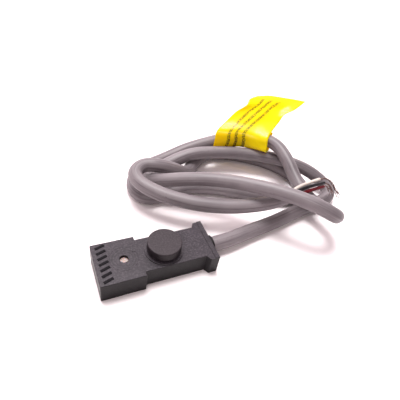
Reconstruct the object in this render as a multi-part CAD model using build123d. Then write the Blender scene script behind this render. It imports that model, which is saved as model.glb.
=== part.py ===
from build123d import *
import math
import os

# Magnetic proximity sensor with a flat moulded body, a clamp knob and a captive three-core lead.
# Millimetres. Origin at the bottom centre of the body, +X towards the lead, +Z up.

# ---- body ----
body_length = 32.4
body_height = 6.2
head_length = 11.8
head_width = 13.4
neck_width = 11.0
flange_length = 3.4
flange_width = 14.0
flange_taper = 0.9
wall = 1.0
top_wall = 1.1
cover_thickness = 1.0
cover_clearance = 0.06
corner_round = 0.25
top_edge_round = 0.15

# ---- end rim on the flange ----
rim_width = 1.3
rim_height = 0.25

# ---- relief on the head ----
bar_count = 7
bar_length = 2.6
bar_width = 0.7
bar_height = 0.18
bar_slant = 18
bar_inset = 2.35
ring_radius = 3.85
ring_width = 0.15
ring_depth = 0.04
dimple_radius = 0.3
dimple_depth = 0.15
dimple_along = 2.95
dimple_across = 1.55

# ---- indicator ----
lens_from_end = 7.55
lens_radius = 1.15
lens_recess = 0.8
lens_edge = 0.15
lens_flange_radius = 1.7
lens_flange_height = 0.4
lens_clearance = 0.03

# ---- board and its parts ----
board_thickness = 0.8
board_standoff = 1.2
board_margin = 0.35
post_radius = 0.6
post_inset = 0.9

# ---- clamp screw ----
knob_from_end = 18.5
knob_radius = 4.68
knob_bottom = 7.0
knob_top = 9.55
knob_edge = 0.3
seat_radius = 5.3
seat_height = 0.35
stud_radius = 1.48
stud_engagement = 1.8
insert_radius = 2.3
insert_wall = 0.9
insert_top_cover = 0.3
thread_clearance = 0.03
pad_radius = 1.3
pad_height = 1.35
pad_lift = 0.15
pad_clearance = 0.1
spigot_radius = 0.55
spigot_length = 0.9
spigot_clearance = 0.06

# ---- lead ----
lead_diameter = 4.6
lead_height = 3.1
sleeve_wall = 0.4
sleeve_inner_length = 4.0
collar_radius = 2.95
collar_length = 1.1
jacket_inside = 3.6
core_diameter = 1.2
core_channel_y = 3.85
core_start_gap = 0.05
strand_diameter = 0.5

# ---- label ----
label_thickness = 0.3
label_clearance = 0.03
label_first = 30
label_last = 31
label_bury = 0.2

# ---- derived places ----
tail_end = -body_length / 2
lead_end = body_length / 2
head_end = tail_end + head_length
flange_start = lead_end - flange_length
lens_x = tail_end + lens_from_end
knob_x = tail_end + knob_from_end
ceiling = body_height - top_wall
pocket_end = lead_end - sleeve_inner_length
boss_radius = insert_radius + insert_wall
board_bottom = cover_thickness + board_standoff
board_top = board_bottom + board_thickness
board_x0 = tail_end + wall + board_margin
board_x1 = head_end - wall - board_margin
board_half = head_width / 2 - wall - board_margin

# The lead's route: out of the sleeve, along the bench and round in three loose turns.
lead_route = [
    (lead_end - jacket_inside, 0, lead_height),
    (21.5, 0, 3.1), (31, 1.8, 2.6), (42, 3.4, 2.35), (53, 5.7, 2.35), (62.5, 7, 2.4),
    (70.5, 9.5, 2.6), (73.5, 15.5, 3.4), (69.5, 21.5, 5.8), (62.5, 26, 7.4),
    (54.5, 30.5, 7.4), (46, 34.5, 7.4), (36.5, 37, 7.4), (27, 38.5, 7.3),
    (18.5, 38, 5), (11.5, 36, 3.2), (7, 31.2, 4.8), (9.2, 25.4, 8.2),
    (17, 21, 11.2), (26, 16, 13.2), (34.5, 9.5, 14.6), (42, 2, 16),
    (47.5, -4.5, 16.3), (53.5, -8, 13.5), (58.5, -5, 9.2), (58, 1.5, 7.3),
    (56, 7.5, 7.4), (57.5, 15, 7.9), (59.5, 23, 10.8),
    (57, 31, 13.1), (50.5, 37, 13), (43, 41.5, 10.5), (35.5, 44.3, 7), (27, 45, 3.6),
    (18.5, 43.6, 2.5), (10.5, 41, 2.35), (4.5, 37.5, 2.35), (2.5, 31.5, 2.35),
    (5, 26.2, 2.35), (11.5, 25.3, 2.35), (18.5, 27, 2.35),
    (27, 25, 2.4), (35.5, 21, 2.4), (44, 16, 2.4), (52, 12.5, 2.4), (60, 12.5, 2.4),
    (65, 18.5, 2.4), (62.5, 26.5, 2.4), (56.5, 33.5, 2.4), (48.5, 39.3, 2.4),
    (39.5, 41.3, 2.4), (31.5, 38.5, 2.4), (24.5, 32.5, 3.0), (17.5, 30, 7.2),
    (11, 30.5, 10.4), (5, 31.5, 10.9), (1.4, 28.3, 10), (2.2, 22.3, 8.7),
    (8.5, 17.5, 8.4), (17, 12.8, 8.3), (26, 9, 8.4), (35, 6.5, 8.9), (42.3, 5.7, 9.8), (47.5, 6.4, 10.3),
]

# Stripped cores beyond the cut end of the jacket, and their tinned strands.
core_routes = {
    "lead_white": [(47.9, 7.4, 10.6), (51.6, 8.3, 11.5), (56.5, 9.0, 11.9), (62, 9.9, 11.6)],
    "lead_black": [(47.8, 6.1, 11.4), (52, 6.9, 12.1), (57.3, 7.4, 12.0), (63, 8.4, 11.2)],
    "lead_red": [(48, 5.9, 9.8), (52.5, 6.0, 10.7), (58, 6.5, 10.6), (62.7, 7.5, 9.8)],
}
strand_routes = [
    [(62, 9.9, 11.6), (65, 10.5, 11.4), (67.2, 9.4, 10.4), (68.4, 8.0, 8.8), (69.3, 6.9, 7.2), (70, 5.3, 5.8)],
    [(63, 8.4, 11.2), (65, 7.7, 10.7), (66.2, 6.6, 9.2), (66.8, 5.9, 7.2)],
    [(62.7, 7.5, 9.8), (64.8, 8.6, 9.5), (66.6, 8.2, 8.2), (67.6, 6.9, 6.6)],
]

# The label's flag stands up from its wrap: the two top corners, the far one first.
flag_top = [(73.5, 41, 23.8), (55, 47.5, 23.2)]


def box(x0, x1, y0, y1, z0, z1):
    centre = Location(((x0 + x1) / 2, (y0 + y1) / 2, (z0 + z1) / 2))
    return centre * Box(x1 - x0, y1 - y0, z1 - z0)


def post(x, y, radius, z0, z1):
    return Location((x, y, (z0 + z1) / 2)) * Cylinder(radius, z1 - z0)


def lying_post(x0, x1, radius):
    centre = Location(((x0 + x1) / 2, 0, lead_height), (0, 90, 0))
    return centre * Cylinder(radius, x1 - x0)


def bend_radii(points):
    vectors = [Vector(*p) for p in points]
    radii = []
    for before, corner, after in zip(vectors, vectors[1:], vectors[2:]):
        into = corner - before
        out = after - corner
        half_turn = math.radians(into.get_angle(out)) / 2
        radii.append(0.45 * min(into.length, out.length) / math.tan(half_turn))
    return radii


def tube(points, diameter):
    radii = bend_radii(points)
    path = FilletPolyline(*points, radius=radii)
    section = Plane(path @ 0, z_dir=path % 0) * Circle(diameter / 2)
    solid = sweep(section, path=path)
    ideal = math.pi * diameter ** 2 / 4 * path.length
    print(f"  tube {path.length:.1f} long, least bend {min(radii):.1f}, volume ratio {solid.volume / ideal:.4f}")
    return solid, radii


def on_lead(first, last, diameter):
    """A solid tube on the lead's own line, round its corners first to last and half a run past them."""
    corners = lead_route[first:last + 1]
    start = (Vector(*lead_route[first - 1]) + Vector(*corners[0])) / 2
    end = (Vector(*corners[-1]) + Vector(*lead_route[last + 1])) / 2
    path = FilletPolyline(start, *corners, end, radius=bend_radii(lead_route)[first - 1:last])
    return sweep(Plane(path @ 0, z_dir=path % 0) * Circle(diameter / 2), path=path), start, end


def plan_outline(inset, z0, z1, stop):
    """The head and neck in plan, drawn in by inset and cut off at stop."""
    head = box(tail_end + inset, head_end - inset, inset - head_width / 2, head_width / 2 - inset, z0, z1)
    neck = box(head_end - 2 * inset, stop, inset - neck_width / 2, neck_width / 2 - inset, z0, z1)
    return head + neck


def make_housing():
    head = box(tail_end, head_end, -head_width / 2, head_width / 2, 0, body_height)
    neck = box(head_end, flange_start + flange_taper, -neck_width / 2, neck_width / 2, 0, body_height)
    half = flange_width / 2
    root = neck_width / 2
    wing = Polyline(
        (lead_end, -half),
        (lead_end, half),
        (flange_start + flange_taper, half),
        (flange_start, root),
        (flange_start, -root),
        (flange_start + flange_taper, -half),
        close=True,
    )
    flange = extrude(make_face(wing), body_height)
    shell = head + neck + flange
    corners = shell.edges().filter_by(Axis.Z)
    shell = fillet(corners.sort_by(Axis.X)[:2], corner_round)
    rim_edges = shell.faces().sort_by(Axis.Z)[-1].edges().filter_by(lambda e: e.center().X < flange_start - 0.1)
    shell = fillet(rim_edges, top_edge_round)
    shell += box(lead_end - rim_width, lead_end, -half, half, body_height, body_height + rim_height)
    shell += post(knob_x, 0, seat_radius, body_height, body_height + seat_height)
    shell += relief_bars()
    shell -= plan_outline(wall, 0, ceiling, pocket_end)
    shell += post(knob_x, 0, boss_radius, cover_thickness, ceiling)
    shell -= post(knob_x, 0, insert_radius, 0, body_height - insert_top_cover)
    shell -= post(knob_x, 0, stud_radius + thread_clearance, 0, body_height + seat_height)
    shell -= post(lens_x, 0, lens_radius + lens_clearance, ceiling, body_height)
    groove = post(lens_x, 0, ring_radius, body_height - ring_depth, body_height)
    shell -= groove - post(lens_x, 0, ring_radius - ring_width, 0, body_height)
    dimple_x = lens_x + dimple_along
    shell -= post(dimple_x, dimple_across, dimple_radius, body_height - dimple_depth, body_height)
    shell -= lying_post(pocket_end, lead_end, lead_diameter / 2 + sleeve_wall)
    return shell


def relief_bars():
    bars = []
    span = head_width - 2.6
    for k in range(bar_count):
        y = (k / (bar_count - 1) - 0.5) * span
        place = Location((tail_end + bar_inset, y, body_height + bar_height / 2), (0, 0, bar_slant))
        bars.append(place * Box(bar_length, bar_width, bar_height))
    return bars


def make_cover():
    plate = plan_outline(wall + cover_clearance, 0, cover_thickness, pocket_end - cover_clearance)
    plate -= post(knob_x, 0, pad_radius + pad_clearance, 0, cover_thickness)
    for x in (board_x0 + post_inset, board_x1 - post_inset):
        for y in (-board_half + post_inset, board_half - post_inset):
            plate += post(x, y, post_radius, cover_thickness, board_bottom)
    return plate


def make_lens():
    stem_top = body_height - lens_recess
    stem = post(lens_x, 0, lens_radius, ceiling - lens_flange_height, stem_top)
    stem = fillet(stem.edges().group_by(Axis.Z)[-1], lens_edge)
    return stem + post(lens_x, 0, lens_flange_radius, ceiling - lens_flange_height, ceiling)


def make_board():
    return box(board_x0, board_x1, -board_half, board_half, board_bottom, board_top)


def chip(x, y, length, width, height, z0=None):
    base = board_top if z0 is None else z0
    return box(x - length / 2, x + length / 2, y - width / 2, y + width / 2, base, base + height)


def make_insert():
    sleeve = post(knob_x, 0, insert_radius, cover_thickness, body_height - insert_top_cover)
    return sleeve - post(knob_x, 0, stud_radius + thread_clearance, 0, body_height)


def make_pad():
    pad = post(knob_x, 0, pad_radius, pad_lift, pad_lift + pad_height)
    return pad + post(knob_x, 0, spigot_radius, pad_lift + pad_height, pad_lift + pad_height + spigot_length)


def make_stud():
    foot = pad_lift + pad_height + 0.02
    stud = post(knob_x, 0, stud_radius, foot, knob_bottom + stud_engagement)
    return stud - post(knob_x, 0, spigot_radius + spigot_clearance, foot, foot + spigot_length + 0.1)


def make_knob():
    knob = post(knob_x, 0, knob_radius, knob_bottom, knob_top)
    knob = fillet(knob.edges().filter_by(GeomType.CIRCLE), knob_edge)
    return knob - post(knob_x, 0, stud_radius, knob_bottom, knob_bottom + stud_engagement)


def make_strain_relief():
    sleeve = lying_post(pocket_end, lead_end, lead_diameter / 2 + sleeve_wall)
    collar = lying_post(lead_end, lead_end + collar_length, collar_radius)
    collar = fillet(collar.edges().group_by(Axis.X)[-1], 0.3)
    return sleeve + collar - lying_post(pocket_end, lead_end + collar_length, lead_diameter / 2)


def make_inner_core(y0, z0, side, z1, y2):
    start = lead_end - jacket_inside - core_start_gap
    landing = board_top + core_diameter / 2
    points = [
        (start, y0, z0),
        (start - 1.8, y0, z0),
        (knob_x + boss_radius + 1.2, side * core_channel_y, z1),
        (knob_x - boss_radius - 0.6, side * core_channel_y, z1),
        (board_x1 + 0.9, y2, landing),
        (board_x1 - 1.2, y2, landing),
    ]
    return tube(points, core_diameter)[0]


def make_label():
    bore = lead_diameter + 2 * label_clearance
    wrap, start, end = on_lead(label_first, label_last, bore + 2 * label_thickness)
    bury = Vector(0, 0, bore / 2 - label_bury)
    low_a = end + bury
    low_b = start + bury
    top_b, top_a = [Vector(*p) for p in flag_top]
    normal = (low_b - low_a).cross(top_a - low_a).normalized()
    top_b -= normal * (top_b - low_a).dot(normal)
    face = Face(Wire.make_polygon([low_a, low_b, top_b, top_a], close=True))
    flag = extrude(face, label_thickness / 2, dir=normal, both=True)
    return wrap + flag - on_lead(label_first - 1, label_last + 1, bore)[0]


def build():
    nodes = {
        "housing": make_housing(),
        "base_cover": make_cover(),
        "led_lens": make_lens(),
        "circuit_board": make_board(),
        "led_chip": chip(lens_x, 0, 2.0, 1.25, 0.9),
        "output_transistor": chip(lens_x - 4.0, 2.4, 2.9, 1.3, 1.1),
        "chip_capacitor": chip(lens_x - 4.2, -0.4, 1.25, 2.0, 0.9),
        "protection_diode": chip(lens_x - 4.0, -3.4, 2.6, 1.6, 1.1),
        "hall_sensor": chip(lens_x - 1.6, 0, 2.9, 1.5, 1.1, board_bottom - 1.1),
        "threaded_insert": make_insert(),
        "pressure_pad": make_pad(),
        "knob_stud": make_stud(),
        "clamp_knob": make_knob(),
        "strain_relief": make_strain_relief(),
        "core_white": make_inner_core(-0.75, 3.8, -1, 4.3, -1.9),
        "core_black": make_inner_core(-0.75, 2.4, -1, 2.3, -3.8),
        "core_red": make_inner_core(0.8, 3.1, 1, 3.4, 3.2),
        "flag_label": make_label(),
    }
    resistors = [chip(lens_x + x, y, 1.6, 0.8, 0.5) for x, y in ((0.2, 3.6), (0.2, -3.6), (0.2, -2.3))]
    nodes["chip_resistors"] = Compound(children=resistors)
    cable, radii = tube(lead_route, lead_diameter)
    print("  lead radii", [round(r, 1) for r in radii])
    nodes["cable"] = cable
    for name, route in core_routes.items():
        nodes[name] = tube(route, core_diameter)[0]
    nodes["bare_strands"] = Compound(children=[tube(route, strand_diameter)[0] for route in strand_routes])
    return nodes


os.makedirs("parts", exist_ok=True)
for node, shape in build().items():
    export_step(shape, f"parts/{node}.step")
    print(node, len(shape.solids()), round(shape.volume, 3))
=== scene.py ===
import math
import random

import bpy
import numpy as np
from mathutils import Matrix, Vector


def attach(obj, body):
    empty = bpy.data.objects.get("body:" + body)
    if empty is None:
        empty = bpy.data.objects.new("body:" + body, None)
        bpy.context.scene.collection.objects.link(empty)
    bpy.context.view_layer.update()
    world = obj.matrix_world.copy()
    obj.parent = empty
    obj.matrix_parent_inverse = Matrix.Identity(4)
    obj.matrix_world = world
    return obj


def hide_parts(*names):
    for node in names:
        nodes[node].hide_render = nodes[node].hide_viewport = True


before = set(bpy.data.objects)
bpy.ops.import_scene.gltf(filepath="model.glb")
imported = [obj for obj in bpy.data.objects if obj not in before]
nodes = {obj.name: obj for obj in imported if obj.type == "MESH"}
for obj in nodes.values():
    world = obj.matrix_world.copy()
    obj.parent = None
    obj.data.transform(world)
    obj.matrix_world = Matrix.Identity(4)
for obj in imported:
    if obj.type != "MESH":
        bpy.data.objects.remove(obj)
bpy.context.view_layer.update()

MM = 0.001
scene = bpy.context.scene

# ---- the cord, its leads and its wires, in millimetres ----
# The route is the CAD tube's, with points moved where the turns had to lie closer to the
# reference: the cord stays within 2.7 mm of the tube's centreline.
CORD_DIAMETER = 4.6
CORE_DIAMETER = 1.2
CORD_ROUTE = [
    (12.6, 0, 3.1),
    (21.5, 0, 3.1), (31, 1.8, 2.6), (42, 3.4, 2.35), (53, 5.7, 2.35), (62.5, 7, 2.4),
    (70.8, 9.2, 2.5), (72.6, 14.4, 3.2), (67.6, 20.4, 6.4), (61.0, 25.6, 7.6),
    (54.5, 30.5, 7.4), (46, 34.5, 7.4), (36.5, 37, 7.4), (27, 38.5, 7.3),
    (18.5, 38, 5.2), (11.5, 36, 3.2), (7, 31.0, 4.5), (9.2, 25.4, 8.2),
    (17, 21, 11.2), (26, 16, 13.2), (34.5, 9.5, 14.6), (42, 2, 16),
    (47.5, -4.5, 16.3), (53.5, -8, 13.5), (58.5, -5, 9.2), (58, 1.5, 7.3),
    (56, 7.5, 7.4), (56.6, 14.6, 8.2), (57.0, 22.4, 11.5),
    (56.4, 30.6, 13.4), (50.5, 37, 13), (43, 41.5, 10.5), (35.5, 44.3, 7), (27, 45.4, 4.4),
    (18.5, 43.6, 2.6), (10.5, 41, 2.35), (4.9, 37.2, 2.35), (2.0, 30.3, 2.35),
    (4.4, 24.3, 2.35), (11.4, 24.2, 2.35), (18.5, 26.8, 2.35),
    (27, 25, 2.4), (35.5, 21, 2.4), (44, 16, 2.4), (51.8, 12.5, 2.4), (59.8, 12.4, 2.4),
    (64.2, 18.4, 2.4), (62.2, 26.6, 2.4), (56.4, 33.8, 2.4), (48.5, 39.3, 2.4),
    (40.5, 43.0, 2.4), (33.5, 42.4, 2.4), (27.6, 38.6, 2.4), (22.6, 33.0, 2.6), (16.8, 30.6, 7.6),
    (11, 30.3, 10.6), (5.6, 31.8, 10.6), (1.7, 28.6, 10.0), (2.8, 23.6, 9.4),
    (8.5, 17.8, 8.6), (17, 12.5, 8.1), (26, 8.8, 8.2), (35, 6.5, 8.9), (42.3, 5.7, 9.8),
    (47.5, 6.4, 10.3),
]
LEAD_ROUTES = {
    "lead_white": [(47.9, 7.4, 10.6), (51.6, 8.3, 11.5), (56.5, 9.0, 11.9), (62, 9.9, 11.6)],
    "lead_black": [(47.8, 6.1, 11.4), (52, 6.9, 12.1), (57.3, 7.4, 12.0), (63, 8.4, 11.2)],
    "lead_red": [(48, 5.9, 10.0), (52.5, 6.0, 11.0), (57.8, 6.5, 10.9), (62.4, 7.4, 10.3)],
}
STRAND_ROUTES = [
    [(62, 9.9, 11.6), (65, 10.5, 11.4), (67.2, 9.4, 10.4), (68.4, 8.0, 8.8), (69.3, 6.9, 7.2),
     (70, 5.3, 5.8)],
    [(63, 8.4, 11.2), (65, 7.7, 10.7), (66.2, 6.6, 9.2), (66.8, 5.9, 7.2)],
    [(62.4, 7.4, 10.3), (64.8, 8.6, 9.7), (66.6, 8.2, 8.2), (67.6, 6.9, 6.6)],
]

# ---- the flag label, in millimetres ----
# Each rail runs across the strip. The first lies behind the strand, and the next ones lead
# under it, up its near side and out to the free edge.
LABEL_RAILS = [
    [(42.6, 45.2, 11.6), (46.2, 43.4, 13.0), (49.6, 41.0, 14.2), (53.1, 38.0, 15.0),
     (57.0, 34.6, 15.2)],
    [(41.0, 46.0, 8.2), (44.6, 43.6, 9.6), (48.4, 41.2, 10.7), (52.6, 38.2, 11.4),
     (56.8, 34.0, 11.6)],
    [(38.3, 43.6, 5.0), (42.2, 41.1, 6.5), (46.7, 38.7, 8.1), (51.1, 35.2, 9.1), (54.9, 31.3, 9.7)],
    [(36.4, 41.0, 6.9), (40.3, 39.1, 8.1), (44.8, 37.0, 9.2), (48.5, 33.3, 10.1),
     (52.0, 29.3, 10.8)],
    [(36.2, 40.8, 10.4), (40.2, 38.4, 11.0), (44.6, 36.6, 11.9), (48.4, 33.5, 12.4),
     (52.2, 29.8, 12.9)],
    [(36.9, 41.6, 13.9), (40.8, 39.4, 14.3), (44.7, 37.6, 14.8), (48.8, 34.9, 14.9),
     (52.6, 31.0, 15.1)],
    [(40.9, 43.4, 16.2), (44.6, 41.4, 16.8), (48.5, 39.2, 17.0), (52.0, 36.8, 16.9),
     (55.2, 33.3, 16.8)],
    [(45.2, 44.6, 19.4), (49.0, 43.0, 19.6), (52.9, 40.6, 19.4), (56.7, 38.7, 18.8),
     (60.3, 36.8, 18.4)],
    [(48.8, 44.4, 21.8), (53.5, 44.0, 22.0), (57.8, 42.8, 21.4), (61.6, 40.8, 20.6),
     (62.9, 38.2, 20.3)],
    [(51.2, 46.4, 23.2), (56.7, 45.8, 23.2), (61.4, 43.8, 22.9), (65.3, 41.2, 22.4),
     (67.0, 38.2, 22.1)],
    [(55.3, 47.7, 23.5), (60.1, 46.9, 23.8), (64.8, 44.9, 23.8), (69.0, 42.7, 23.9),
     (73.0, 40.4, 23.9)],
]
LABEL_FILM = 0.16  # thickness
LABEL_STEPS = 8  # mesh steps between two rails, and between two points of a rail


# ================= shader helpers =================

# sockets of an RGBA Mix node: its two colours and its result share their names with the other types
MIX_FACTOR, MIX_A, MIX_B, MIX_RESULT = 0, 6, 7, 2


def new_material(name):
    material = bpy.data.materials.new(name)
    material.use_nodes = True
    tree = material.node_tree
    return material, tree, tree.nodes["Principled BSDF"]


def feed(tree, socket, value):
    """Links a node or a socket to socket, or sets a plain value on it."""
    if isinstance(value, bpy.types.NodeSocket):
        tree.links.new(value, socket)
    elif isinstance(value, bpy.types.Node):
        tree.links.new(value.outputs[0], socket)
    else:
        held = socket.default_value
        if hasattr(held, "__len__") and len(held) == 4 and len(value) == 3:
            value = (*value, 1)
        socket.default_value = value


def add(tree, kind, settings=None, **values):
    node = tree.nodes.new("ShaderNode" + kind)
    for key, value in (settings or {}).items():
        setattr(node, key, value)
    for key, value in values.items():
        feed(tree, node.inputs[key.replace("_", " ")], value)
    return node


def set_plain(surface, values):
    """Sets values that are the same all over the surface on the shader's own sockets."""
    for socket, value in values.items():
        surface.inputs[socket].default_value = value


def math_node(tree, operation, a, b=0.0):
    node = tree.nodes.new("ShaderNodeMath")
    node.operation = operation
    feed(tree, node.inputs[0], a)
    feed(tree, node.inputs[1], b)
    return node.outputs[0]


def times(tree, a, b):
    return math_node(tree, "MULTIPLY", a, b)


def plus(tree, a, b):
    return math_node(tree, "ADD", a, b)


def varied(tree, base, spread, amount):
    """A roughness that goes from base up to base + spread with amount."""
    return plus(tree, base, times(tree, amount, spread))


def noise(tree, coords, scale, detail=4.0, roughness=0.55, distortion=0.0):
    node = add(tree, "TexNoise", Vector=coords, Scale=scale, Detail=detail,
               Roughness=roughness, Distortion=distortion)
    return node.outputs["Fac"]


def wave(tree, coords, settings, **values):
    return add(tree, "TexWave", settings, Vector=coords, **values).outputs["Fac"]


def stretch(tree, coords, scale):
    return add(tree, "Mapping", Vector=coords, Scale=scale).outputs[0]


def smooth_step(tree, value, low, high, out_low=0.0, out_high=1.0):
    """Goes smoothly from out_low at low to out_high at high."""
    node = tree.nodes.new("ShaderNodeMapRange")
    node.interpolation_type = "SMOOTHSTEP"
    for k, number in enumerate((low, high, out_low, out_high)):
        node.inputs[k + 1].default_value = number
    feed(tree, node.inputs[0], value)
    return node.outputs[0]


def mix(tree, factor, a, b):
    node = tree.nodes.new("ShaderNodeMix")
    node.data_type = "RGBA"
    feed(tree, node.inputs[MIX_FACTOR], factor)
    feed(tree, node.inputs[MIX_A], a)
    feed(tree, node.inputs[MIX_B], b)
    return node.outputs[MIX_RESULT]


def bump(tree, height, depth, strength=1.0, normal=None):
    node = add(tree, "Bump", Height=height, Distance=depth, Strength=strength)
    if normal is not None:
        tree.links.new(normal, node.inputs["Normal"])
    return node.outputs[0]


def object_coords(tree):
    return add(tree, "TexCoord").outputs["Object"]


def vector_value(tree, operation, *vectors):
    node = tree.nodes.new("ShaderNodeVectorMath")
    node.operation = operation
    for socket, vector in zip(node.inputs, vectors):
        tree.links.new(vector, socket)
    return node.outputs["Value"]


def edge_mask(tree, radius):
    """A mask, near 1 within radius metres of sharp edges, and the normal with them rounded."""
    same_way, turned_away = 0.985, 0.86
    rounded = add(tree, "Bevel", {"samples": 8}, Radius=radius).outputs[0]
    flat = add(tree, "NewGeometry").outputs["Normal"]
    agreement = vector_value(tree, "DOT_PRODUCT", rounded, flat)
    return smooth_step(tree, agreement, same_way, turned_away), rounded


# ================= materials =================
# Lengths in the shaders are in metres, noise scales in cycles per metre and colours in linear RGB.

def moulded_black(name, sheen_top, side, wear_and_glint, roughness, grain_depth, grain_scale=2600,
                  edge_radius=0.00018):
    """Grained plastic: paler where it looks up, which is painted sheen, and speckled with painted
    glints, with rubbed and rounded edges.
    """
    side_z, top_z = 0.25, 0.85  # the normal's Z up to which a face keeps the side colour, and from which it takes the full painted sheen
    dimmer_sheen = [c * 0.75 for c in sheen_top]
    rub_strength = 0.3
    material, tree, surface = new_material(name)
    coords = object_coords(tree)
    edges, rounded = edge_mask(tree, edge_radius)
    normal = add(tree, "TexCoord").outputs["Normal"]
    up = add(tree, "SeparateXYZ", Vector=normal).outputs["Z"]
    # how far a face looks up, which sets how much painted sheen it takes
    upper = smooth_step(tree, up, side_z, top_z)
    grain = noise(tree, coords, scale=grain_scale, detail=5.0, roughness=0.65)
    clouds = noise(tree, coords, scale=160, detail=5.0, roughness=0.6, distortion=0.4)
    glint_specks = smooth_step(tree, noise(tree, coords, scale=2300, detail=3.0), low=0.42, high=0.72)
    handled = smooth_step(tree, noise(tree, coords, scale=700, detail=4.0),
                          low=0.38, high=0.62, out_low=0.25)
    rub = times(tree, edges, handled)
    # painted sheen: faces that look up take a paler colour for the light they reflect, dimmer in
    # cloudy patches, and the sides keep the dark colour
    cloudy_sheen = mix(tree, smooth_step(tree, clouds, low=0.35, high=0.68), dimmer_sheen, sheen_top)
    colour = mix(tree, upper, side, cloudy_sheen)
    # painted glints: specks of the light tone, strong on faces that look up and faint on the sides;
    # the same tone also marks the rubbed edges as wear
    glint_strength = smooth_step(tree, up, side_z, top_z, out_low=0.03, out_high=0.2)
    colour = mix(tree, times(tree, glint_specks, glint_strength), colour, wear_and_glint)
    colour = mix(tree, times(tree, rub, rub_strength), colour, wear_and_glint)
    feed(tree, surface.inputs["Base Color"], colour)
    feed(tree, surface.inputs["Roughness"], varied(
        tree, base=roughness - 0.1, spread=0.2, amount=clouds))
    set_plain(surface, {"Specular IOR Level": 0.2})
    feed(tree, surface.inputs["Normal"], bump(
        tree, grain, grain_depth, strength=0.7, normal=rounded))
    return material, tree, surface, colour, coords


def housing_material():
    """Grained black body with faint turned rings round its window and dull, darker raised bars."""
    window_x = -0.00865
    ring_pitch = 0.00072
    ring_tone, bar_tone = (0.009, 0.007, 0.009), (0.004, 0.003, 0.005)
    # the paler colour for faces that look up is painted sheen, and the light tone serves both
    # painted glints and rubbed edges
    material, tree, surface, colour, coords = moulded_black(
        "housing_moulded", sheen_top=(0.03, 0.0235, 0.031), side=(0.003, 0.002, 0.0034),
        wear_and_glint=(0.17, 0.145, 0.165), roughness=0.4, grain_depth=0.00005, grain_scale=1500)
    centre = add(tree, "Mapping", Vector=coords, Location=(-window_x, 0, 0),
                 Scale=(1, 1, 0)).outputs[0]
    distance = vector_value(tree, "LENGTH", centre)
    ripple = math_node(tree, "SINE", times(tree, distance, 2 * math.pi / ring_pitch))
    outside_window = smooth_step(tree, distance, low=0.0016, high=0.0019)
    inside_groove = smooth_step(tree, distance, low=0.0038, high=0.0035)
    turned = times(tree, smooth_step(tree, ripple, low=0.35, high=0.95),
                   times(tree, outside_window, inside_groove))
    faded = smooth_step(tree, noise(tree, coords, scale=800, detail=3.0),
                        low=0.4, high=0.6, out_low=0.3, out_high=0.75)
    colour = mix(tree, times(tree, turned, faded), colour, ring_tone)
    # the raised bars on the head are moulded duller and darker than the grained face round them
    split = add(tree, "SeparateXYZ", Vector=coords)
    raised = smooth_step(tree, split.outputs["Z"], low=0.00623, high=0.00628)
    on_head = smooth_step(tree, split.outputs["X"], low=-0.0105, high=-0.011)
    bars = times(tree, raised, on_head)
    feed(tree, surface.inputs["Base Color"], mix(tree, bars, colour, bar_tone))
    plain_roughness = surface.inputs["Roughness"].links[0].from_socket
    feed(tree, surface.inputs["Roughness"], varied(
        tree, plain_roughness, spread=0.45, amount=bars))
    return material


def knob_material():
    """A smooth turned black knob, with faint rings about its axis."""
    axis_x = 0.0023
    # the paler colour for faces that look up is painted sheen, and the light tone serves both
    # painted glints and rubbed edges
    material, tree, surface, _, coords = moulded_black(
        "knob_satin", sheen_top=(0.033, 0.0245, 0.03), side=(0.012, 0.0085, 0.011),
        wear_and_glint=(0.1, 0.08, 0.09), roughness=0.5, grain_depth=0.000012, grain_scale=3400,
        edge_radius=0.00022)
    centre = add(tree, "Mapping", Vector=coords, Location=(-axis_x, 0, 0)).outputs[0]
    rings = wave(tree, centre, {"wave_type": "RINGS", "rings_direction": "Z"},
                 Scale=900.0, Distortion=0.6, Detail=2.0)
    grained_normal = surface.inputs["Normal"].links[0].from_socket
    feed(tree, surface.inputs["Normal"], bump(
        tree, rings, depth=0.000004, strength=0.5, normal=grained_normal))
    return material


def rubber_material():
    # the paler colour for faces that look up is painted sheen, and the light tone serves both
    # painted glints and rubbed edges
    return moulded_black(
        "rubber_sleeve", sheen_top=(0.008, 0.007, 0.008), side=(0.005, 0.004, 0.005),
        wear_and_glint=(0.06, 0.05, 0.055), roughness=0.55, grain_depth=0.00006, grain_scale=1500,
        edge_radius=0.00015)[0]


def cover_material():
    # the paler colour for faces that look up is painted sheen, and the light tone serves both
    # painted glints and rubbed edges
    return moulded_black(
        "cover_moulded", sheen_top=(0.03, 0.028, 0.03), side=(0.02, 0.018, 0.02),
        wear_and_glint=(0.2, 0.18, 0.2), roughness=0.55, grain_depth=0.00003)[0]


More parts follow.
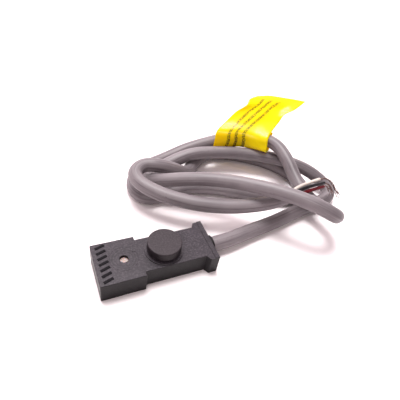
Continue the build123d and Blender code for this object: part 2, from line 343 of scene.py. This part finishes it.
def jacket_material():
    """Grey PVC jacket: pale and dark drawn lines along it, scuffs, and a little scattered light."""
    grey, light_grey = (0.14, 0.118, 0.129), (0.185, 0.158, 0.17)
    pale_line, dark_line, scuffed = (0.26, 0.226, 0.24), (0.07, 0.054, 0.063), (0.06, 0.042, 0.048)
    material, tree, surface = new_material("jacket_pvc")
    uv = add(tree, "TexCoord").outputs["UV"]
    coords = object_coords(tree)
    lines = noise(tree, stretch(tree, uv, (18, 17, 1)), scale=1.0, detail=5.0, roughness=0.7)
    clouds = noise(tree, coords, scale=70, detail=4.0, roughness=0.55)
    fine = noise(tree, coords, scale=2400, detail=4.0, roughness=0.6)
    scuff_area = smooth_step(tree, noise(tree, coords, scale=95, detail=3.0, roughness=0.6),
                             low=0.55, high=0.72)
    scratches = noise(tree, stretch(tree, coords, (1, 1, 2.4)), scale=900, roughness=0.7)
    scuff = times(tree, scuff_area, smooth_step(tree, scratches, low=0.56, high=0.66))
    colour = mix(tree, smooth_step(tree, clouds, low=0.3, high=0.7), grey, light_grey)
    pale = smooth_step(tree, lines, low=0.52, high=0.68)
    dark = smooth_step(tree, lines, low=0.48, high=0.36)
    colour = mix(tree, times(tree, pale, 0.45), colour, pale_line)
    colour = mix(tree, times(tree, dark, 0.75), colour, dark_line)
    colour = mix(tree, times(tree, scuff, 0.7), colour, scuffed)
    feed(tree, surface.inputs["Base Color"], colour)
    smooth_roughness = varied(tree, base=0.4, spread=0.16, amount=clouds)
    feed(tree, surface.inputs["Roughness"], varied(
        tree, smooth_roughness, spread=0.2, amount=scuff))
    set_plain(surface, {"Subsurface Weight": 0.06, "Subsurface Radius": (0.6, 0.45, 0.45),
                        "Subsurface Scale": 0.0006})
    along = bump(tree, lines, depth=0.00005, strength=0.5)
    feed(tree, surface.inputs["Normal"], bump(
        tree, fine, depth=0.000012, strength=0.6, normal=along))
    return material


def insulation_material(name, base, shade):
    """A core's insulation: smooth PVC, a little uneven in colour and gloss."""
    material, tree, surface = new_material(name)
    coords = object_coords(tree)
    clouds = noise(tree, coords, scale=420, detail=4.0, roughness=0.6)
    fine = noise(tree, coords, scale=5200, detail=3.0, roughness=0.6)
    patches = smooth_step(tree, clouds, low=0.36, high=0.66)
    feed(tree, surface.inputs["Base Color"], mix(tree, patches, base, shade))
    feed(tree, surface.inputs["Roughness"], varied(
        tree, base=0.24, spread=0.2, amount=clouds))
    set_plain(surface, {"Specular IOR Level": 0.22})
    feed(tree, surface.inputs["Normal"], bump(tree, fine, depth=0.00001, strength=0.5))
    return material


def metal_material(name, base, tarnish, roughness, scale):
    """Bare metal, uneven in colour and gloss, with fine drawn or turned lines."""
    material, tree, surface = new_material(name)
    coords = object_coords(tree)
    clouds = noise(tree, coords, scale=scale, detail=5.0, roughness=0.6)
    lines = noise(tree, stretch(tree, coords, (1, 1, 9)), scale=scale * 4, detail=3.0,
                  roughness=0.6)
    dulled = smooth_step(tree, clouds, low=0.4, high=0.7)
    feed(tree, surface.inputs["Base Color"], mix(tree, dulled, base, tarnish))
    set_plain(surface, {"Metallic": 1.0})
    feed(tree, surface.inputs["Roughness"], varied(
        tree, base=roughness, spread=0.2, amount=lines))
    feed(tree, surface.inputs["Normal"], bump(tree, lines, depth=0.00001, strength=0.4))
    return material


def label_print(tree, uv, across, along):
    """A mask of three lines of small unreadable strokes along the strip."""
    ink = None
    for line, seed in ((0.27, 1.7), (0.42, 5.3), (0.57, 9.1)):
        off_line = math_node(tree, "ABSOLUTE", math_node(tree, "SUBTRACT", across, line))
        band = smooth_step(tree, off_line, low=0.034, high=0.026)
        shifted = add(tree, "Mapping", Vector=uv, Location=(seed, seed, 0),
                      Scale=(34, 86, 1)).outputs[0]
        strokes = smooth_step(tree, noise(tree, shifted, scale=1.0, detail=2.0, roughness=0.7),
                              low=0.43, high=0.48)
        gaps = noise(tree, stretch(tree, uv, (0.01, 13, 1)), scale=1.0 + 0.02 * seed, detail=1.0)
        words = smooth_step(tree, gaps, low=0.28, high=0.32)
        mark = times(tree, band, times(tree, strokes, words))
        ink = mark if ink is None else math_node(tree, "MAXIMUM", ink, mark)
    starts = smooth_step(tree, along, low=0.22, high=0.27)
    ends = smooth_step(tree, along, low=0.93, high=0.86)
    return times(tree, ink, times(tree, starts, ends))


def label_material():
    """Glossy yellow film with unreadable print, which lets some light through."""
    yellow, light_yellow = (0.98, 0.84, 0.003), (0.99, 0.9, 0.004)
    lit_through, ink_tone = (1.0, 0.68, 0.002), (0.11, 0.035, 0.012)
    see_through_share = 0.45
    material, tree, surface = new_material("label_film")
    uv = add(tree, "UVMap", {"uv_map": "strip"}).outputs[0]
    coords = object_coords(tree)
    split = add(tree, "SeparateXYZ", Vector=uv)
    across, along = split.outputs["X"], split.outputs["Y"]
    printed = label_print(tree, uv, across, along)
    clouds = noise(tree, coords, scale=130, detail=3.0, roughness=0.5)
    wrinkles = noise(tree, stretch(tree, uv, (3.0, 9.0, 1)), scale=1.0, detail=3.0, roughness=0.5)
    colour = mix(tree, smooth_step(tree, clouds, low=0.35, high=0.65), yellow, light_yellow)
    # the print looks fainter on the upper part of the strip, where the light grazes it
    strength = smooth_step(tree, along, low=0.38, high=0.5, out_low=0.9, out_high=0.55)
    colour = mix(tree, times(tree, printed, strength), colour, ink_tone)
    feed(tree, surface.inputs["Base Color"], colour)
    feed(tree, surface.inputs["Roughness"], varied(
        tree, base=0.16, spread=0.14, amount=clouds))
    set_plain(surface, {"Specular IOR Level": 0.3, "Coat Weight": 0.12, "Coat Roughness": 0.06})
    feed(tree, surface.inputs["Normal"], bump(tree, wrinkles, depth=0.0002, strength=0.35))
    # light comes through the thin film and tints what lies behind it
    through = add(tree, "BsdfTranslucent", Color=mix(tree, printed, lit_through, ink_tone))
    both = add(tree, "MixShader", Fac=see_through_share)
    tree.links.new(surface.outputs[0], both.inputs[1])
    tree.links.new(through.outputs[0], both.inputs[2])
    tree.links.new(both.outputs[0], tree.nodes["Material Output"].inputs[0])
    return material


def lens_material():
    """A small clear window over the indicator: milky where the light scatters in it."""
    material, tree, surface = new_material("lens_clear")
    clouds = noise(tree, object_coords(tree), scale=900, detail=4.0, roughness=0.6)
    colour = mix(tree, clouds, (0.42, 0.31, 0.27), (0.64, 0.53, 0.5))
    feed(tree, surface.inputs["Base Color"], colour)
    feed(tree, surface.inputs["Roughness"], varied(
        tree, base=0.05, spread=0.1, amount=clouds))
    set_plain(surface, {"Transmission Weight": 0.35, "IOR": 1.49, "Subsurface Weight": 0.3,
                        "Subsurface Scale": 0.0008, "Coat Weight": 0.4})
    return material


def board_material():
    """Green solder mask with a woven laminate under it and a few copper tracks."""
    mask, light_mask, track_tone = (0.012, 0.1, 0.04), (0.03, 0.2, 0.09), (0.06, 0.3, 0.12)
    material, tree, surface = new_material("board_mask")
    coords = object_coords(tree)
    weave = times(tree, *(wave(tree, coords, {"bands_direction": axis}, Scale=900.0, Distortion=0.4)
                          for axis in "XY"))
    track = add(tree, "TexBrick", {"offset": 0.5}, Vector=coords, Scale=700.0,
                Mortar_Size=0.12).outputs["Fac"]
    colour = mix(tree, times(tree, weave, 0.3), mask, light_mask)
    colour = mix(tree, times(tree, track, 0.45), colour, track_tone)
    feed(tree, surface.inputs["Base Color"], colour)
    feed(tree, surface.inputs["Roughness"], varied(
        tree, base=0.28, spread=0.15, amount=weave))
    feed(tree, surface.inputs["Normal"], bump(tree, track, depth=0.00003, strength=0.5))
    return material


def component_material(name, base, patch):
    """A moulded or ceramic electronic part with a fine grain and patches of a second tone."""
    material, tree, surface = new_material(name)
    coords = object_coords(tree)
    grain = noise(tree, coords, scale=3800, detail=4.0, roughness=0.6)
    patches = noise(tree, coords, scale=650, detail=3.0, roughness=0.5)
    patched = smooth_step(tree, patches, low=0.42, high=0.6)
    feed(tree, surface.inputs["Base Color"], mix(tree, patched, base, patch))
    feed(tree, surface.inputs["Roughness"], varied(
        tree, base=0.35, spread=0.25, amount=grain))
    feed(tree, surface.inputs["Normal"], bump(tree, grain, depth=0.00001, strength=0.6))
    return material


# ================= geometry helpers =================

def link(obj):
    scene.collection.objects.link(obj)
    return obj


def curve_data(name, bevel_depth, bevel_resolution):
    data = bpy.data.curves.new(name, "CURVE")
    data.dimensions = "3D"
    data.bevel_depth = bevel_depth
    data.bevel_resolution = bevel_resolution
    data.use_fill_caps = True
    return data


def add_points(spline, places):
    spline.points.add(len(places) - 1)
    for point, place in zip(spline.points, places):
        point.co = (*place, 1)


def nurbs_curve(name, points, diameter, resolution=12):
    """A round cord along one open NURBS spline, which passes near its points, in millimetres."""
    data = curve_data(name, diameter / 2 * MM, bevel_resolution=10)
    spline = data.splines.new("NURBS")
    add_points(spline, [[c * MM for c in place] for place in points])
    spline.order_u = 3
    spline.use_endpoint_u = True
    spline.resolution_u = resolution
    data.twist_mode = "MINIMUM"
    return link(bpy.data.objects.new(name, data))


def centreline(points, resolution):
    """Points along the NURBS spline of a route, in metres, as Blender evaluates it."""
    curve = nurbs_curve("centreline_probe", points, 0, resolution)
    bpy.context.view_layer.update()
    graph = bpy.context.evaluated_depsgraph_get()
    mesh = bpy.data.meshes.new_from_object(curve.evaluated_get(graph))
    line = np.array([v.co for v in mesh.vertices])
    bpy.data.objects.remove(curve, do_unlink=True)
    bpy.data.meshes.remove(mesh)
    return line


def catmull(rows, count):
    """Rows of points joined by a smooth curve, with count steps between neighbours."""
    rows = np.asarray(rows, float)
    first = 2 * rows[0] - rows[1]
    last = 2 * rows[-1] - rows[-2]
    padded = np.concatenate([[first], rows, [last]])
    made = []
    for k in range(1, len(rows)):
        p0, p1, p2, p3 = padded[k - 1:k + 3]
        for step in range(count):
            t = step / count
            made.append(0.5 * (2 * p1 + (p2 - p0) * t + (2 * p0 - 5 * p1 + 4 * p2 - p3) * t ** 2
                               + (3 * p1 - p0 - 3 * p2 + p3) * t ** 3))
    made.append(rows[-1])
    return np.array(made)


def finish_piece(obj, material, node, body="root"):
    obj.data.materials.clear()
    obj.data.materials.append(material)
    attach(obj, body)
    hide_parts(node)
    return obj


# ================= pieces =================

def make_cord(material):
    cord = nurbs_curve("sensor_cord", CORD_ROUTE, CORD_DIAMETER)
    return finish_piece(cord, material, "cable")


def make_leads(materials):
    leads = []
    for node, route in LEAD_ROUTES.items():
        colour = node.split("_")[1]
        piece = nurbs_curve("stripped_" + colour, route, CORE_DIAMETER)
        leads.append(finish_piece(piece, materials[colour], node))
    return leads


def make_strands(material):
    """Seven fine wires in each bunch, twisted together and fraying apart towards the tip."""
    draw = random.Random(7)
    wires_per_bunch = 7
    wire_radius = 0.1 * MM
    lay_radius = 0.2 * MM
    turns_per_metre = 210
    fray_reach = 1.1
    fray_power = 2.2
    most_cut_back = 5
    off_line = (0.2, 0.3, 0.9)  # any direction that no bunch runs along
    data = curve_data("tinned_wires", wire_radius, bevel_resolution=2)
    for route in STRAND_ROUTES:
        line = centreline(route, resolution=8)
        steps = np.linalg.norm(np.diff(line, axis=0), axis=1)
        run = np.concatenate([[0], np.cumsum(steps)])
        share = run / run[-1]
        tangent = np.gradient(line, axis=0)
        tangent /= np.linalg.norm(tangent, axis=1)[:, None]
        side = np.cross(tangent, off_line)
        side /= np.linalg.norm(side, axis=1)[:, None]
        up = np.cross(side, tangent)
        for wire in range(wires_per_bunch):
            # the last wire is the straight one in the middle
            phase = 2 * math.pi * wire / (wires_per_bunch - 1)
            radius = 0 if wire == wires_per_bunch - 1 else lay_radius
            stray = np.array([draw.uniform(-1, 1), draw.uniform(-1, 1), draw.uniform(-0.9, 0.5)])
            stray = stray * fray_reach * MM
            cut = len(line) - draw.randint(0, most_cut_back)
            angle = phase + 2 * math.pi * turns_per_metre * run
            path = line + radius * (np.cos(angle)[:, None] * side + np.sin(angle)[:, None] * up)
            path += np.outer(share ** fray_power, stray)
            add_points(data.splines.new("POLY"), path[:cut])
    piece = link(bpy.data.objects.new("tinned_wires", data))
    return finish_piece(piece, material, "bare_strands")


def make_label(material):
    rows = catmull(LABEL_RAILS, LABEL_STEPS)
    grid = np.array([catmull(row, LABEL_STEPS) for row in rows]) * MM
    high, wide = grid.shape[:2]
    mesh = bpy.data.meshes.new("flag_film")
    faces = [(r * wide + c, r * wide + c + 1, (r + 1) * wide + c + 1, (r + 1) * wide + c)
             for r in range(high - 1) for c in range(wide - 1)]
    mesh.from_pydata([tuple(p) for p in grid.reshape(-1, 3)], [], faces)
    layer = mesh.uv_layers.new(name="strip")
    for loop in mesh.loops:
        r, c = divmod(loop.vertex_index, wide)
        layer.data[loop.index].uv = (c / (wide - 1), r / (high - 1))
    for polygon in mesh.polygons:
        polygon.use_smooth = True
    piece = link(bpy.data.objects.new("flag_film", mesh))
    film = piece.modifiers.new("film", "SOLIDIFY")
    film.thickness = LABEL_FILM * MM
    film.offset = 0
    return finish_piece(piece, material, "flag_label")


# ================= scene =================

def make_camera():
    """A camera above the sensor's head that looks down at about 42 degrees, towards the loops."""
    place_mm = (-23.7, -55.4, 81.6)
    pitch, azimuth, roll = (math.radians(a) for a in (42.1, 31.55, -11.9))
    data = bpy.data.cameras.new("camera")
    data.sensor_width = 36
    data.lens = 31.68
    data.clip_start = 0.005
    data.clip_end = 20
    level = math.cos(pitch)
    forward = Vector((math.sin(azimuth) * level, math.cos(azimuth) * level, -math.sin(pitch)))
    right = Vector((math.cos(azimuth), -math.sin(azimuth), 0))
    up = right.cross(forward)
    rolled_right = math.cos(roll) * right - math.sin(roll) * up
    rolled_up = math.sin(roll) * right + math.cos(roll) * up
    camera = link(bpy.data.objects.new("camera", data))
    turn = Matrix((rolled_right, rolled_up, -forward)).transposed().to_4x4()
    camera.matrix_world = Matrix.Translation(Vector(place_mm) * MM) @ turn
    scene.camera = camera


def make_floor():
    pale, paler = (0.88, 0.82, 0.84), (0.91, 0.85, 0.87)
    floor_size = 4
    material, tree, surface = new_material("pale_floor")
    grain = noise(tree, object_coords(tree), scale=400, detail=3.0)
    feed(tree, surface.inputs["Base Color"], mix(tree, grain, pale, paler))
    set_plain(surface, {"Roughness": 0.7, "Specular IOR Level": 0.2})
    bpy.ops.mesh.primitive_plane_add(size=floor_size)
    floor = bpy.context.object
    floor.name = "floor"
    floor.data.materials.append(material)


def area_light(name, place, target, size, power, colour):
    data = bpy.data.lights.new(name, "AREA")
    data.shape = "DISK"
    data.size = size
    data.energy = power
    data.color = colour
    light = link(bpy.data.objects.new(name, data))
    light.location = place
    light.rotation_euler = (Vector(target) - Vector(place)).to_track_quat("-Z", "Y").to_euler()


def make_light():
    """A studio that is bright behind the object and overhead, with a key and a weak fill light."""
    middle = (0.03, 0.02, 0)
    world = bpy.data.worlds.new("studio")
    world.use_nodes = True
    tree = world.node_tree
    backdrop = tree.nodes["Background"]
    direction = add(tree, "SeparateXYZ", Vector=add(tree, "TexCoord").outputs["Generated"])
    behind = smooth_step(tree, direction.outputs["Y"], low=-0.1, high=0.7,
                         out_low=0.2, out_high=2.3)
    overhead = smooth_step(tree, direction.outputs["Z"], low=0.55, high=1.0, out_high=0.4)
    backdrop.inputs["Color"].default_value = (1.0, 0.885, 0.91, 1)
    feed(tree, backdrop.inputs["Strength"], plus(tree, behind, overhead))
    scene.world = world
    area_light("key", (0.0, 0.14, 0.55), middle, size=0.24, power=3.6, colour=(1.0, 1.0, 0.98))
    area_light("fill", (-0.18, -0.27, 0.32), middle, size=0.2, power=0.6, colour=(1.0, 0.9, 0.86))
    scene.view_settings.view_transform = "Standard"


def paint_frame(materials):
    """Gives every CAD node that stays in view its own procedural material."""
    chip = component_material("chip_epoxy", (0.02, 0.02, 0.02), (0.05, 0.05, 0.05))
    painted = {
        "housing": housing_material(),
        "base_cover": cover_material(),
        "led_lens": lens_material(),
        "circuit_board": board_material(),
        "led_chip": component_material("led_epoxy", (0.85, 0.7, 0.4), (0.95, 0.9, 0.8)),
        "output_transistor": chip,
        "protection_diode": chip,
        "hall_sensor": chip,
        "chip_capacitor": component_material(
            "capacitor_ceramic", (0.4, 0.26, 0.14), (0.55, 0.4, 0.26)),
        "chip_resistors": component_material(
            "resistor_glaze", (0.02, 0.02, 0.025), (0.6, 0.6, 0.62)),
        "threaded_insert": metal_material(
            "insert_brass", (0.78, 0.57, 0.25), (0.55, 0.36, 0.14), roughness=0.2, scale=900),
        "pressure_pad": component_material("pad_nylon", (0.72, 0.7, 0.64), (0.82, 0.8, 0.76)),
        "knob_stud": metal_material(
            "stud_steel", (0.6, 0.59, 0.57), (0.35, 0.34, 0.33), roughness=0.2, scale=900),
        "clamp_knob": knob_material(),
        "strain_relief": rubber_material(),
        "core_white": materials["white"],
        "core_black": materials["black"],
        "core_red": materials["red"],
    }
    for node, material in painted.items():
        mesh = nodes[node].data
        mesh.materials.clear()
        mesh.materials.append(material)


make_camera()
insulation = {
    "white": insulation_material("insulation_white", (0.6, 0.54, 0.5), (0.5, 0.43, 0.4)),
    "black": insulation_material("insulation_black", (0.006, 0.005, 0.007), (0.016, 0.013, 0.016)),
    "red": insulation_material("insulation_red", (0.1, 0.004, 0.009), (0.065, 0.003, 0.007)),
}
cord = make_cord(jacket_material())
leads = make_leads(insulation)
wires = make_strands(metal_material(
    "tinned_wire", (0.3, 0.215, 0.2), (0.12, 0.08, 0.075), roughness=0.3, scale=1500))
label = make_label(label_material())
paint_frame(insulation)
make_floor()
make_light()
